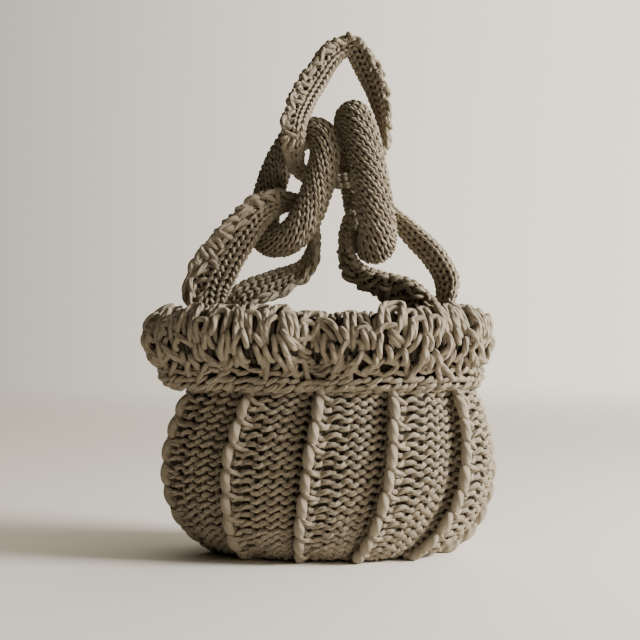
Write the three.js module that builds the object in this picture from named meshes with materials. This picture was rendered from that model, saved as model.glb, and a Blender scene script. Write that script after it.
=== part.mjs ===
// A hand-knitted pouch bag with a rolled collar and a strap of five interlocked knitted links.
// Millimetres, +Z up, the front towards -Y. The origin is the middle of the flat base.
import * as THREE from "three";
import { mergeVertices } from "three/addons/utils/BufferGeometryUtils.js";

// Driving dimensions
const WALL = 6; // knitted wall of the pouch
const FLOOR_SECTION = 2; // row of the pouch's table where the inside floor meets the inside wall
const FLOOR_CORNER_RISE = 2; // how much higher the floor is at its edge than in its middle
const FLOOR_CORNER_INSET = 12; // how far the floor's edge lies inside that section
const RIBS = 10; // raised knit columns round the pouch
const FIRST_RIB_TURN = -0.029; // where the rib left of the front middle stands, in turns
const NECK_HEIGHT = 122; // where the pouch ends and the collar starts
const SEAM_GAP = 0.4; // clear gap between two pieces that meet
const STRAP_STEPS = 40; // facets along each link
const STRIP_SIDES = 8; // facets round a flat link
const TUBE_SIDES = 12; // facets round a tubular link
const COLLAR_STEPS = 72; // facets round the collar
const COLLAR_SIDESTEP = -4; // the collar sits a little to the left of the pouch
const STRIP_SQUARENESS = 0.6; // 1 is an ellipse, towards 0 a rectangle
const TUBE_FULLNESS = 0.8; // 1 is an elliptical ring, lower has straighter arms
const TANGENT_STEP = 1e-3; // in laps of a ring
const OVAL_STEPS = 720; // steps in which an oval's outline is measured

// The pouch from its flat base to its neck: half width and half depth at the panels, how far the ribs
// are swayed round the pouch, and how much of the pleats' relief stands there.
const POUCH_SECTIONS = [
  { up: 0, wide: 77, deep: 34, sway: -15, relief: 0.5 },
  { up: 3, wide: 87, deep: 40, sway: -14, relief: 0.7 },
  { up: 10, wide: 97, deep: 46, sway: -12, relief: 0.9 },
  { up: 22, wide: 108.5, deep: 51, sway: -8, relief: 1 },
  { up: 38, wide: 117.5, deep: 54, sway: -4, relief: 1 },
  { up: 56, wide: 122.5, deep: 55.5, sway: -1, relief: 1 },
  { up: 74, wide: 123, deep: 55.5, sway: 1, relief: 1 },
  { up: 92, wide: 120, deep: 54, sway: 4, relief: 1 },
  { up: 109, wide: 115, deep: 50.5, sway: 7, relief: 1 },
  { up: NECK_HEIGHT, wide: 109, deep: 46.5, sway: 9, relief: 0.7 },
];

// One pleat from a rib's crest across its panel to the groove beside the next rib.
const PLEAT = [
  { across: 0, out: 5.5 },
  { across: 0.06, out: 4.5 },
  { across: 0.13, out: 1.5 },
  { across: 0.36, out: 1.5 },
  { across: 0.6, out: 0.5 },
  { across: 0.8, out: -2 },
  { across: 0.9, out: -5 },
  { across: 0.95, out: 0 },
];

// The collar's section, measured out from the neck's outline: a band below and a fat roll above, and
// how far each point follows the band's folds and the roll's.
const COLLAR_SECTION = [
  { out: -9, up: NECK_HEIGHT + SEAM_GAP, band: 0, roll: 0 },
  { out: 3, up: NECK_HEIGHT + SEAM_GAP, band: 0.5, roll: 0 },
  { out: 7, up: 130, band: 1, roll: 0 },
  { out: 8.5, up: 138, band: 0.8, roll: 0.2 },
  { out: 17, up: 145, band: 0.2, roll: 0.8 },
  { out: 22.5, up: 157, band: 0, roll: 1 },
  { out: 21.5, up: 170, band: 0, roll: 1 },
  { out: 14, up: 181, band: 0, roll: 0.8 },
  { out: 4, up: 186, band: 0, roll: 0.4 },
  { out: -5, up: 182, band: 0, roll: 0.1 },
  { out: -10, up: 170, band: 0, roll: 0 },
  { out: -11, up: 146, band: 0, roll: 0 },
];

// How far the band and the roll swell out and the rim lifts round the mouth: a fat left end, a tight
// right end, and a gather at the front middle.
const COLLAR_FOLDS = [
  { turn: -0.33, band: 2, roll: 1, lift: 0 },
  { turn: -0.25, band: 9, roll: 6, lift: 0 },
  { turn: -0.17, band: 5, roll: 3, lift: 1 },
  { turn: -0.1, band: 0, roll: 1, lift: 2 },
  { turn: -0.055, band: 0, roll: -1, lift: 1 },
  { turn: -0.015, band: -4, roll: -11, lift: -4 },
  { turn: 0.03, band: 0, roll: -2, lift: -4 },
  { turn: 0.1, band: 1, roll: 1, lift: 0 },
  { turn: 0.19, band: 2, roll: -2, lift: 2 },
  { turn: 0.25, band: 3, roll: -5, lift: 1 },
  { turn: 0.36, band: 0, roll: -1, lift: 0 },
  { turn: 0.5, band: -1, roll: -3, lift: -2 },
];

// The flat links: the middle line, the strip's width and thickness, and how far its face turns from
// the front, in degrees.
const LEFT_BASE_LOOP = [
  { x: -93.5, y: 2, z: 194, wide: 37, thick: 9, turn: 0 },
  { x: -86.5, y: 2, z: 213, wide: 38, thick: 9, turn: 0 },
  { x: -70, y: 1, z: 237, wide: 32, thick: 9, turn: 0 },
  { x: -48, y: 4.5, z: 260, wide: 25, thick: 9, turn: 0 },
  { x: -26, y: 20, z: 263, wide: 15, thick: 9, turn: 15 },
  { x: -12, y: 22, z: 243, wide: 14, thick: 8, turn: 80 },
  { x: -19, y: 15, z: 215, wide: 20, thick: 9, turn: 45 },
  { x: -41, y: 8, z: 202, wide: 25, thick: 9, turn: 25 },
  { x: -65, y: 4, z: 192, wide: 25, thick: 9, turn: 25 },
  { x: -87.5, y: 4, z: 170, wide: 13, thick: 9, turn: 20 },
];
const TOP_LINK = [
  { x: 16, y: 41, z: 390, wide: 19, thick: 9, turn: -15 },
  { x: 3, y: 40, z: 384, wide: 20, thick: 9, turn: -10 },
  { x: -13, y: 33, z: 360, wide: 23, thick: 9, turn: 0 },
  { x: -23, y: 19, z: 339, wide: 23, thick: 9, turn: 0 },
  { x: -28, y: 4.5, z: 319, wide: 21, thick: 9, turn: 0 },
  { x: -28, y: 10, z: 303, wide: 19, thick: 9, turn: 0 },
  { x: -25, y: 20, z: 290, wide: 14, thick: 9, turn: 0 },
  { x: -10, y: 29, z: 283, wide: 13, thick: 9, turn: 0 },
  { x: 6, y: 26, z: 281, wide: 13, thick: 9, turn: 5 },
  { x: 24, y: 24, z: 286, wide: 13, thick: 9, turn: 0 },
  { x: 36.5, y: 26, z: 303, wide: 14, thick: 9, turn: -30 },
  { x: 42, y: 29, z: 325, wide: 17, thick: 10, turn: -60 },
  { x: 38.5, y: 33, z: 346, wide: 22, thick: 10, turn: -50 },
  { x: 29.5, y: 38, z: 370, wide: 23, thick: 10, turn: -35 },
];
const RIGHT_BASE_LOOP = [
  { x: 86, y: 6, z: 184, wide: 16, thick: 10, turn: -40 },
  { x: 88, y: 6, z: 203, wide: 22, thick: 11, turn: -35 },
  { x: 79, y: 8, z: 221, wide: 22, thick: 11, turn: -35 },
  { x: 65, y: 11, z: 236, wide: 20, thick: 10, turn: -30 },
  { x: 51, y: 15, z: 250, wide: 16, thick: 9, turn: -15 },
  { x: 36, y: 18, z: 260, wide: 14, thick: 9, turn: 0 },
  { x: 19, y: 17, z: 255, wide: 14, thick: 9, turn: 25 },
  { x: 11.5, y: 14, z: 235, wide: 17, thick: 9, turn: 60 },
  { x: 17, y: 11, z: 212, wide: 22, thick: 9, turn: 45 },
  { x: 37, y: 8, z: 201, wide: 24, thick: 9, turn: 30 },
  { x: 58, y: 3, z: 194, wide: 26, thick: 9, turn: 25 },
  { x: 72, y: -2, z: 184, wide: 20, thick: 9, turn: 15 },
  { x: 87.5, y: 2, z: 170, wide: 12, thick: 8, turn: -20 },
];

// The tubular links: the ends of the ring's middle line, half the spread between its front and rear
// arms, and the tube's radius at its low and high ends.
const LEFT_TUBE = { low: [-40, 12, 234], high: [-16, 28, 319], front: [19, -18, 0], radii: [13.5, 12.5] };
const RIGHT_TUBE = { low: [34, 13, 231], high: [17, 30, 331], front: [4, -24.5, 0], radii: [15.4, 13.8] };

const YARN = new THREE.MeshStandardMaterial({ color: "#96846c", roughness: 0.9, metalness: 0 });

// A closed surface: each vertex of a three.js shape is put where place(u, v) says, and seams are merged.
function closedSurface(shape, place) {
  const { uv, position } = shape.attributes;
  for (let i = 0; i < position.count; i += 1) {
    const point = place(uv.getX(i), uv.getY(i));
    position.setXYZ(i, point.x, point.y, point.z);
  }
  shape.deleteAttribute("normal");
  shape.deleteAttribute("uv");
  const merged = mergeVertices(shape);
  merged.computeVertexNormals();
  return merged;
}

// A plain ring to be reshaped: its u runs once along the ring and its v once round the section.
function ringShape(sides, steps) {
  const radius = 1;
  const tube = radius / 2;
  return new THREE.TorusGeometry(radius, tube, sides, steps);
}

// An oval's girth, and the angle at which each share of it is reached, starting at the front middle.
function ovalOutline({ wide, deep }) {
  const step = (2 * Math.PI) / OVAL_STEPS;
  const reached = [0];
  for (let i = 0; i < OVAL_STEPS; i += 1) {
    const angle = (i + 0.5) * step;
    reached.push(reached[i] + step * Math.hypot(wide * Math.cos(angle), deep * Math.sin(angle)));
  }
  const girth = reached[OVAL_STEPS];
  const angleAt = (turn) => {
    const length = (turn - Math.floor(turn)) * girth;
    const next = reached.findIndex((other) => other > length);
    const part = (length - reached[next - 1]) / (reached[next] - reached[next - 1]);
    return (next - 1 + part) * step;
  };
  return { girth, angleAt };
}

// A smooth value between the rows of a table that runs once round the bag.
function roundTable(rows, column) {
  return (turn) => {
    const wrapped = turn - Math.floor(turn - rows[0].turn);
    const from = rows.findLastIndex((row) => row.turn <= wrapped);
    const here = rows[from];
    const next = rows[(from + 1) % rows.length];
    const span = next.turn > here.turn ? next.turn - here.turn : next.turn + 1 - here.turn;
    const part = (1 - Math.cos((Math.PI * (wrapped - here.turn)) / span)) / 2;
    return here[column] + (next[column] - here[column]) * part;
  };
}

// A point on an oval at an angle from the front middle, moved straight out by a distance.
function ovalPoint(wide, deep, angle, out, up) {
  const normal = new THREE.Vector2(Math.sin(angle) / wide, -Math.cos(angle) / deep).normalize();
  return new THREE.Vector3(
    wide * Math.sin(angle) + normal.x * out,
    -deep * Math.cos(angle) + normal.y * out,
    up,
  );
}

// The pouch: one hollow knitted wall, pleated from rib to rib, open at the neck and flat at its base.
function pouch() {
  const belly = POUCH_SECTIONS.reduce((a, b) => (b.wide > a.wide ? b : a));
  const { girth, angleAt } = ovalOutline(belly);
  const outside = POUCH_SECTIONS.map((row) => ({ ...row, inset: 0 }));
  const inside = POUCH_SECTIONS.slice(FLOOR_SECTION + 1)
    .reverse()
    .map((row) => ({ ...row, inset: WALL }));
  const floorEdge = {
    ...POUCH_SECTIONS[FLOOR_SECTION],
    up: WALL + FLOOR_CORNER_RISE,
    inset: FLOOR_CORNER_INSET,
  };
  const centre = (up) => ({ ...POUCH_SECTIONS[0], up, centre: true });
  const rows = [centre(0), ...outside, ...inside, floorEdge, centre(WALL)];

  const facets = RIBS * PLEAT.length;
  const profile = rows.map((row) => new THREE.Vector2(row.centre ? 0 : row.wide, row.up));
  const shape = new THREE.LatheGeometry(profile, facets);
  return closedSurface(shape, (u, v) => {
    const row = rows[Math.round(v * (rows.length - 1))];
    if (row.centre) return new THREE.Vector3(0, 0, row.up);
    const facet = Math.round(u * facets) % facets;
    const fold = PLEAT[facet % PLEAT.length];
    const rib = Math.floor(facet / PLEAT.length);
    const turn = FIRST_RIB_TURN + (rib + fold.across) / RIBS + row.sway / girth;
    const out = fold.out * row.relief - row.inset;
    return ovalPoint(row.wide, row.deep, angleAt(turn), out, row.up);
  });
}

// The collar: a padded roll on a band, one ring round the mouth.
function collar() {
  const neck = POUCH_SECTIONS.at(-1);
  const { angleAt } = ovalOutline(neck);
  const band = roundTable(COLLAR_FOLDS, "band");
  const roll = roundTable(COLLAR_FOLDS, "roll");
  const lift = roundTable(COLLAR_FOLDS, "lift");
  const crown = Math.max(...COLLAR_SECTION.map((row) => row.up));
  const shape = ringShape(COLLAR_SECTION.length, COLLAR_STEPS);
  return closedSurface(shape, (u, v) => {
    const row = COLLAR_SECTION[Math.round(v * COLLAR_SECTION.length) % COLLAR_SECTION.length];
    const height = Math.max(0, (row.up - NECK_HEIGHT - SEAM_GAP) / (crown - NECK_HEIGHT));
    const out = row.out + row.band * band(u) + row.roll * roll(u);
    const point = ovalPoint(neck.wide, neck.deep, angleAt(u), out, row.up + lift(u) * height);
    point.x += COLLAR_SIDESTEP;
    return point;
  });
}

// A flat knitted strip sewn into a ring along a table of stations.
function stripLink(stations) {
  const path = new THREE.CatmullRomCurve3(
    stations.map((s) => new THREE.Vector3(s.x, s.y, s.z)),
    true,
    "centripetal",
  );
  const smooth = (column, u) => {
    const place = u * stations.length;
    const here = stations[Math.floor(place) % stations.length];
    const next = stations[(Math.floor(place) + 1) % stations.length];
    return here[column] + (next[column] - here[column]) * (place - Math.floor(place));
  };
  const squared = (x) => Math.sign(x) * Math.abs(x) ** STRIP_SQUARENESS;
  const towardsViewer = new THREE.Vector3(0, -1, 0);
  const shape = ringShape(STRIP_SIDES, STRAP_STEPS);
  return closedSurface(shape, (lap, v) => {
    const u = lap % 1;
    const tangent = path.getTangent(u);
    const side = tangent.clone().cross(towardsViewer).normalize();
    const face = side.clone().cross(tangent).normalize();
    const turn = THREE.MathUtils.degToRad(smooth("turn", u));
    side.applyAxisAngle(tangent, turn);
    face.applyAxisAngle(tangent, turn);
    const angle = (v + 0.5 / STRIP_SIDES) * 2 * Math.PI;
    return path
      .getPoint(u)
      .addScaledVector(side, (smooth("wide", u) / 2) * squared(Math.cos(angle)))
      .addScaledVector(face, (smooth("thick", u) / 2) * squared(Math.sin(angle)));
  });
}

// A fat knitted tube sewn into a long ring, one arm in front and one behind.
function tubeLink({ low, high, front, radii }) {
  const bottom = new THREE.Vector3(...low);
  const top = new THREE.Vector3(...high);
  const middle = bottom.clone().lerp(top, 0.5);
  const along = top.clone().sub(middle);
  const across = new THREE.Vector3(...front);
  const rounded = (x) => Math.sign(x) * Math.abs(x) ** TUBE_FULLNESS;
  const centre = (u) =>
    middle
      .clone()
      .addScaledVector(along, rounded(Math.cos(2 * Math.PI * u)))
      .addScaledVector(across, rounded(Math.sin(2 * Math.PI * u)));
  const normal = along.clone().cross(across).normalize();
  const shape = ringShape(TUBE_SIDES, STRAP_STEPS);
  return closedSurface(shape, (u, v) => {
    const tangent = centre(u + TANGENT_STEP).sub(centre(u - TANGENT_STEP)).normalize();
    const outward = tangent.clone().cross(normal).normalize();
    const angle = v * 2 * Math.PI;
    const radius = THREE.MathUtils.lerp(radii[0], radii[1], (1 + Math.cos(2 * Math.PI * u)) / 2);
    return centre(u)
      .addScaledVector(outward, radius * Math.cos(angle))
      .addScaledVector(normal, radius * Math.sin(angle));
  });
}

function piece(name, geometry) {
  const mesh = new THREE.Mesh(geometry, YARN.clone());
  mesh.name = name;
  return mesh;
}

const bag = new THREE.Group();
bag.add(
  piece("bag_body", pouch()),
  piece("rolled_collar", collar()),
  piece("left_base_loop", stripLink(LEFT_BASE_LOOP)),
  piece("left_tube_link", tubeLink(LEFT_TUBE)),
  piece("top_link", stripLink(TOP_LINK)),
  piece("right_tube_link", tubeLink(RIGHT_TUBE)),
  piece("right_base_loop", stripLink(RIGHT_BASE_LOOP)),
);

export default bag;
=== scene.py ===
"""Looks of a hand-knitted bag with a strap of interlocked knitted links.

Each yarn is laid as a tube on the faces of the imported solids, in their frame. Sizes are millimetres, but
metres in the studio.
"""

import logging
import math
from dataclasses import dataclass
from enum import Enum

import bpy
import numpy as np
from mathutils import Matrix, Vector


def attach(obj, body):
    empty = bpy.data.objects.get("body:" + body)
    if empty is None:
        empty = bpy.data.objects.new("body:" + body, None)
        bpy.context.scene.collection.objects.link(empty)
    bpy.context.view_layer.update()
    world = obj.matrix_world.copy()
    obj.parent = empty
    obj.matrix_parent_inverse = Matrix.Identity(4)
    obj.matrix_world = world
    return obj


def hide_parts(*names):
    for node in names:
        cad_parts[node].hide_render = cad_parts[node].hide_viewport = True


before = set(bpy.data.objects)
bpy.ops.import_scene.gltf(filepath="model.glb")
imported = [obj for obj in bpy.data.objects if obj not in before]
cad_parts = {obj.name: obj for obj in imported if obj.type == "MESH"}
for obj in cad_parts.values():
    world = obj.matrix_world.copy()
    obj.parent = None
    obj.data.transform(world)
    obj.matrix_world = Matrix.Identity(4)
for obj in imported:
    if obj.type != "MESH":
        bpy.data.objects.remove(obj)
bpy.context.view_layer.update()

MM = 0.001
TURN = 2 * math.pi
SEED = 11
BODY = "root"
FLOOR_CLEARANCE = 0.3  # the knit is pressed flat this far above the floor
YARN_MAP = "yarn"
Array = np.ndarray
Random = np.random.Generator
Span = tuple[float, float]
Point = tuple[float, float, float]
Table = tuple[tuple[float, ...], ...]
log = logging.getLogger("bag")


class Face(Enum):
    """Which face of the knit looks outwards."""

    PURL = 1.0
    KNIT = -1.0


class Layer(Enum):
    """Which finish a part of a mesh takes, by its material slot."""

    YARN = 0
    # the same yarn painted darker as shade, for what lies under the loops
    DEPTH = 1


class Facets(Enum):
    """How many facets go round a yarn, by how large it shows."""

    FINE = 6
    LOOSE = 8
    FAT = 10


def linear(hex_colour: str) -> tuple[float, float, float, float]:
    """Turns an sRGB hex colour into linear RGBA.

    Args:
        hex_colour: The colour, as a hash sign and six digits.

    Returns:
        The linear colour with full alpha.
    """
    parts = [int(hex_colour[i : i + 2], 16) / 255 for i in (1, 3, 5)]
    red, green, blue = (p / 12.92 if p <= 0.04045 else ((p + 0.055) / 1.055) ** 2.4 for p in parts)
    return red, green, blue, 1.0


def unit(vectors: Array) -> Array:
    """Scales vectors to length one."""
    return vectors / np.maximum(np.linalg.norm(vectors, axis=-1, keepdims=True), 1e-9)


def ease(share: Array) -> Array:
    """Eases a share from 0 to 1, level at both ends."""
    held = np.clip(share, 0.0, 1.0)
    return held * held * (3.0 - 2.0 * held)


def lengths_along(line: Array) -> Array:
    """Gives the distance reached at each point of a line."""
    steps = np.linalg.norm(np.diff(line, axis=0), axis=1)
    return np.concatenate([[0.0], np.cumsum(steps)])


def offset(turn: Array, middle: float) -> Array:
    """Gives how far round a ring a turn lies from a middle, from -0.5 to 0.5."""
    return (turn - middle + 0.5) % 1.0 - 0.5


def spaced(seed: Random, count: int, uneven: float, shift: float = 0.0) -> Array:
    """Gives about equal steps round a ring, uneven and shifted by shares of a step."""
    return (np.arange(count) + shift + seed.normal(0, uneven, count)) / count


def add_node(
    tree: bpy.types.NodeTree, kind: str, sockets: dict[str | int, object] | None = None, **settings: object
) -> bpy.types.Node:
    """Adds a node with its settings and links.

    Args:
        tree: The node tree that takes the node.
        kind: The node's type.
        sockets: A value for each input by name, or a pair of a node and its output's name to link.
        settings: The node's own properties.

    Returns:
        The new node.
    """
    node = tree.nodes.new(kind)
    for name, value in settings.items():
        setattr(node, name, value)
    for name, value in (sockets or {}).items():
        if isinstance(value, tuple) and isinstance(value[0], bpy.types.Node):
            tree.links.new(value[0].outputs[value[1]], node.inputs[name])
        else:
            node.inputs[name].default_value = value
    return node


def empty_tree(owner: bpy.types.Material | bpy.types.World) -> bpy.types.NodeTree:
    """Turns on the nodes of a material or a world and clears them.

    Args:
        owner: The material or world.

    Returns:
        Its empty node tree.
    """
    owner.use_nodes = True
    owner.node_tree.nodes.clear()
    return owner.node_tree


def add_object(name: str, data: bpy.types.ID) -> bpy.types.Object:
    """Adds an object to the scene.

    Args:
        name: Its name.
        data: Its mesh, lamp or camera.

    Returns:
        The new object.
    """
    made = bpy.data.objects.new(name, data)
    bpy.context.scene.collection.objects.link(made)
    return made


@dataclass(frozen=True)
class YarnFinish:
    """Soft plied cotton yarn: matt, with slanting plies, a fine fuzz and a slow drift of its dye."""

    name: str
    light: str
    dark: str
    plies: float = 3.0
    lay: float = 9.0  # length of strand for one turn of the plies
    ply_relief: float = 0.3
    fuzz_size: float = 0.5  # the fibres are finer, and are drawn this coarse so that they show
    fuzz_detail: float = 3.0
    fuzz_relief: float = 0.16
    dye_drift: float = 30.0  # size of the patches where the dye took more or less
    dye_detail: float = 5.0
    dye_mottle: float = 0.7  # how strongly small patches show within the large ones
    dye_range: Span = (0.3, 0.7)  # where the patches are fully dark and fully light
    ior: float = 1.5
    gloss: float = 0.25
    roughness: float = 0.86
    sheen: float = 0.18
    sheen_roughness: float = 0.5

    def material(self) -> bpy.types.Material:
        """Makes the yarn's material.

        Returns:
            The new material.
        """
        made = bpy.data.materials.new(self.name)
        tree = empty_tree(made)
        place = add_node(tree, "ShaderNodeTexCoord")
        strand = add_node(tree, "ShaderNodeUVMap", uv_map=YARN_MAP)
        slant = (TURN / self.lay, TURN * self.plies, 0.0)
        turn = add_node(
            tree, "ShaderNodeVectorMath", {0: (strand, "UV"), 1: slant}, operation="DOT_PRODUCT"
        )
        plies = add_node(tree, "ShaderNodeMath", {0: (turn, "Value")}, operation="SINE")
        fuzz = add_node(
            tree,
            "ShaderNodeTexNoise",
            {
                "Vector": (place, "Object"),
                "Scale": 1 / (self.fuzz_size * MM),
                "Detail": self.fuzz_detail,
            },
        )
        drift = add_node(
            tree,
            "ShaderNodeTexNoise",
            {
                "Vector": (place, "Object"),
                "Scale": 1 / (self.dye_drift * MM),
                "Detail": self.dye_detail,
                "Roughness": self.dye_mottle,
            },
        )
        colour = add_node(tree, "ShaderNodeValToRGB", {"Fac": (drift, "Fac")})
        for stop, at, shade in zip(colour.color_ramp.elements, self.dye_range, (self.dark, self.light)):
            stop.position = at
            stop.color = linear(shade)
        twist = add_node(
            tree,
            "ShaderNodeBump",
            {"Height": (plies, "Value"), "Distance": self.ply_relief * MM},
        )
        fibres = add_node(
            tree,
            "ShaderNodeBump",
            {"Height": (fuzz, "Fac"), "Distance": self.fuzz_relief * MM, "Normal": (twist, "Normal")},
        )
        shader = add_node(
            tree,
            "ShaderNodeBsdfPrincipled",
            {
                "Base Color": (colour, "Color"),
                "Roughness": self.roughness,
                "IOR": self.ior,
                "Specular IOR Level": self.gloss,
                "Sheen Weight": self.sheen,
                "Sheen Roughness": self.sheen_roughness,
                "Sheen Tint": linear(self.light),
                "Normal": (fibres, "Normal"),
            },
        )
        add_node(tree, "ShaderNodeOutputMaterial", {"Surface": (shader, "BSDF")})
        return made


# Taupe cotton yarn: the outer loops show the full colour, and what lies under them is the same yarn painted
# darker as shade, most of all in the tight links.
YARN = YarnFinish("taupe_plied_cotton_yarn", light="#9b8f7b", dark="#867a68")
DEPTH = YarnFinish("taupe_yarn_painted_darker_as_shade_in_the_knit", light="#4a4237", dark="#393229")
LINK_PAINTED_SHADE = YarnFinish("taupe_yarn_painted_darker_as_shade_in_the_links", light="#2c2720", dark="#201c17")


class YarnMesh:
    """Tubes of yarn, and the layers under them, gathered into one mesh."""

    def __init__(self, name: str, under: YarnFinish = DEPTH) -> None:
        """Starts an empty mesh.

        Args:
            name: The name of the piece.
            under: The finish of what lies under its loops, painted darker as shade.
        """
        self.name = name
        self.under = under
        self.count = 0
        self.points: list[Array] = []
        self.corners: list[Array] = []
        self.sizes: list[Array] = []
        self.maps: list[Array] = []
        self.layers: list[Array] = []

    def add_faces(self, corners: Array, maps: Array, layer: Layer) -> None:
        """Adds faces that all have the same number of corners.

        Args:
            corners: The points of each face, counted from the start of the mesh.
            maps: The place of each corner in the yarn map.
            layer: The finish that the faces take.
        """
        faces, size = corners.shape
        self.corners.append(corners.ravel())
        self.sizes.append(np.full(faces, size))
        self.maps.append(maps.reshape(-1, 2))
        self.layers.append(np.full(faces, layer.value))

    def add_points(self, points: Array) -> Array:
        """Adds points.

        Args:
            points: The points, in any arrangement.

        Returns:
            Their numbers in the mesh, in the same arrangement.
        """
        numbers = self.count + np.arange(points[..., 0].size).reshape(points.shape[:-1])
        self.points.append(points.reshape(-1, 3))
        self.count += numbers.size
        return numbers

    def add_tubes(
        self,
        path: Array,
        over: Array,
        radius: Array | float,
        facets: Facets = Facets.FINE,
        closed: bool = False,
        layer: Layer = Layer.YARN,
    ) -> None:
        """Lays a tube of yarn along each path.

        Args:
            path: The middle line of each strand, as strands by points by three.
            over: A direction across the strand at each of its points.
            radius: The yarn's radius, at each point or all over.
            facets: The facets round the yarn.
            closed: Whether each strand joins its own start.
            layer: The finish that the yarn takes.
        """
        sides = facets.value
        ahead, behind = np.roll(path, -1, 1), np.roll(path, 1, 1)
        if not closed:
            ahead[:, -1], behind[:, 0] = path[:, -1], path[:, 0]
        tangent = unit(ahead - behind)
        across = unit(np.cross(tangent, over))
        up = np.cross(across, tangent)
        angle = np.arange(sides) * TURN / sides
        round_it = np.cos(angle)[:, None] * up[:, :, None] + np.sin(angle)[:, None] * across[:, :, None]
        thick = np.broadcast_to(np.asarray(radius, float), path.shape[:2])[..., None, None]
        numbers = self.add_points(path[:, :, None] + thick * round_it)

        steps = np.linalg.norm(np.roll(path, -1, 1) - path, axis=-1)
        reached = np.concatenate([np.zeros((len(path), 1)), np.cumsum(steps, 1)], 1)
        last = path.shape[1] if closed else path.shape[1] - 1
        here, there = numbers[:, :last], np.roll(numbers, -1, 1)[:, :last]
        corners = np.stack([here, np.roll(here, -1, 2), np.roll(there, -1, 2), there], -1)
        along = np.stack([reached[:, :last], reached[:, 1 : last + 1]], -1)[:, :, None, [0, 0, 1, 1]]
        facet = np.arange(sides) / sides
        around = np.stack([facet, facet + 1 / sides, facet + 1 / sides, facet], -1)[None, None]
        maps = np.stack(np.broadcast_arrays(along, around), -1)
        self.add_faces(corners.reshape(-1, 4), maps, layer)
        if not closed:
            for cap in (numbers[:, 0, ::-1], numbers[:, -1]):
                self.add_faces(cap, np.zeros((*cap.shape, 2)), layer)

    def add_sheet(self, points: Array, wrap_down: bool, wrap_across: bool) -> None:
        """Adds the layer that lies under the outer loops, in yarn painted darker as shade.

        Args:
            points: A grid of points.
            wrap_down: Whether the last row joins the first.
            wrap_across: Whether the last column joins the first.
        """
        numbers = self.add_points(points)
        rows = len(points) if wrap_down else len(points) - 1
        columns = points.shape[1] if wrap_across else points.shape[1] - 1
        below = np.roll(numbers, -1, 0)
        corners = np.stack([numbers, np.roll(numbers, -1, 1), np.roll(below, -1, 1), below], -1)
        corners = corners[:rows, :columns].reshape(-1, 4)
        self.add_faces(corners, np.zeros((*corners.shape, 2)), Layer.DEPTH)

    def build(self, node: str, slot: str) -> bpy.types.Object:
        """Makes the object, puts it on the frame and dresses it.

        Args:
            node: The solid that it stands for.
            slot: Not used.

        Returns:
            The new piece.
        """
        mesh = bpy.data.meshes.new(self.name)
        points = np.concatenate(self.points)
        points[:, 2] = np.maximum(points[:, 2], FLOOR_CLEARANCE)
        corners, sizes = np.concatenate(self.corners), np.concatenate(self.sizes)
        mesh.vertices.add(len(points))
        mesh.vertices.foreach_set("co", (points * MM).ravel())
        mesh.loops.add(len(corners))
        mesh.loops.foreach_set("vertex_index", corners)
        mesh.polygons.add(len(sizes))
        mesh.polygons.foreach_set("loop_start", np.cumsum(sizes) - sizes)
        mesh.polygons.foreach_set("material_index", np.concatenate(self.layers))
        mesh.update(calc_edges=True)
        mesh.shade_smooth()
        mesh.uv_layers.new(name=YARN_MAP).uv.foreach_set("vector", np.concatenate(self.maps).ravel())
        for finish in (YARN, self.under):
            mesh.materials.append(bpy.data.materials.get(finish.name) or finish.material())
        piece = add_object(self.name, mesh)
        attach(piece, BODY)
        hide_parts(node)
        log.info("%s: %d triangles", self.name, int((sizes - 2).sum()))
        return piece


@dataclass(frozen=True)
class Loop:
    """How the yarn runs through one stitch of a course."""

    face: Face
    swing: float  # sideways swing of the legs, in stitch widths
    reach: float  # half the height of the loop
    depth: float  # how far the yarn weaves in and out of the cloth
    lean: float = 0.0  # how far a stitch's first leg stands out before its second

    def weave(self, phase: Array) -> tuple[Array, Array, Array]:
        """Gives the yarn's way through the stitches.

        Args:
            phase: The place along the course, in stitches.

        Returns:
            The yarn's shift sideways in stitches, and upwards and outwards in millimetres.
        """
        turn = TURN * phase
        side = self.swing * np.sin(2 * turn)
        out = self.face.value * self.depth * np.cos(2 * turn) + self.lean * np.sin(turn)
        return side, -self.reach * np.cos(turn), out


def wobble(seed: Random, rows: int, stitches: int, points: int, size: float) -> Array:
    """Gives the unevenness of hand knitting, smooth from stitch to stitch.

    Args:
        seed: The random numbers.
        rows: The number of courses.
        stitches: The stitches in a course.
        points: The points in a stitch.
        size: The usual size of the unevenness.

    Returns:
        A shift for each point of each course.
    """
    loose = seed.normal(0.0, size, (rows, stitches))
    part = ease(np.arange(points) / points)
    mixed = loose[:, :, None] * (1 - part) + np.roll(loose, -1, 1)[:, :, None] * part
    return mixed.reshape(rows, -1)


def round_ends(points: int, tip: float, taper: float) -> Array:
    """Rounds the ends of a loose strand.

    Args:
        points: The points along the strand.
        tip: The share of its radius at the very ends.
        taper: The share of its length over which an end is rounded.

    Returns:
        The share of its radius at each point.
    """
    from_end = np.minimum(np.linspace(0, 1, points), np.linspace(1, 0, points)) / taper
    rounded = np.sqrt(1 - (1 - np.clip(from_end, 0, 1)) ** 2)
    return tip + (1 - tip) * rounded


class Oval:
    """An oval outline measured by equal steps along it, from the front middle towards +X."""

    def __init__(self, wide: float, deep: float, steps: int = 720) -> None:
        """Measures the outline.

        Args:
            wide: Half the oval's width.
            deep: Half its depth.
            steps: How many steps measure it.
        """
        self.angles = np.linspace(0, TURN, steps + 1)
        middle = self.angles[:-1] + TURN / steps / 2
        lengths = np.hypot(wide * np.cos(middle), deep * np.sin(middle)) * TURN / steps
        self.reached = np.concatenate([[0.0], np.cumsum(lengths)])
        self.girth = float(self.reached[-1])

    def angle(self, turn: Array) -> Array:
        """Gives the angle at which a share of the outline is reached."""
        return np.interp((turn % 1.0) * self.girth, self.reached, self.angles)


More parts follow.
